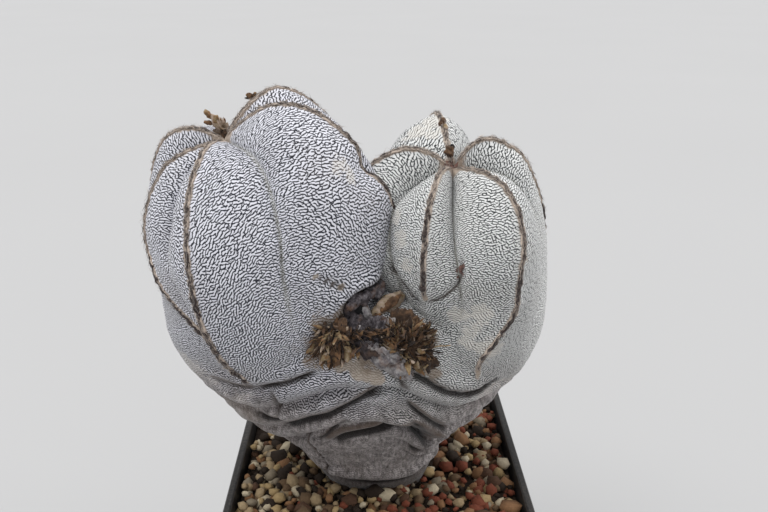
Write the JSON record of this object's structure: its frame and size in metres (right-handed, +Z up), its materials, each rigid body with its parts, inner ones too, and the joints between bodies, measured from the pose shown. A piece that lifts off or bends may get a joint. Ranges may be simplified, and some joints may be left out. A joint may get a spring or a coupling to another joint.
{
  "type": "potted onzuka astrophytum cactus",
  "caption": "Old forked bishop's cap cactus with white flecked ribs, woolly ridge lines and dried flower remains, in grit in a square black plastic pot.",
  "frame": {"origin": "centre of the underside of the pot's floor, on the surface that the pot stands on", "axes": "+Z up, +X to the right as seen by a viewer who faces the plant, -Y towards that viewer, square to the pot's front wall"},
  "size_m": [0.1242, 0.0998, 0.2203],
  "materials": {
    "skin": "matt grey-white skin of felt flecks with dark winding lines, brown-grey and corky towards the foot",
    "remains": "dry papery orange-brown petals",
    "grit": "loose matt stones in tan, cream, grey, rust and dark brown",
    "pot": "black moulded plastic with a soft sheen"
  },
  "bodies": {
    "root": {"plastic_pot": "pot", "grit": "grit", "cactus": "skin", "flower_remains_centre_left": "remains", "flower_remains_centre_right": "remains", "flower_remains_left_crown": "remains", "flower_remains_back_rib": "remains"}
  },
  "joints": []
}
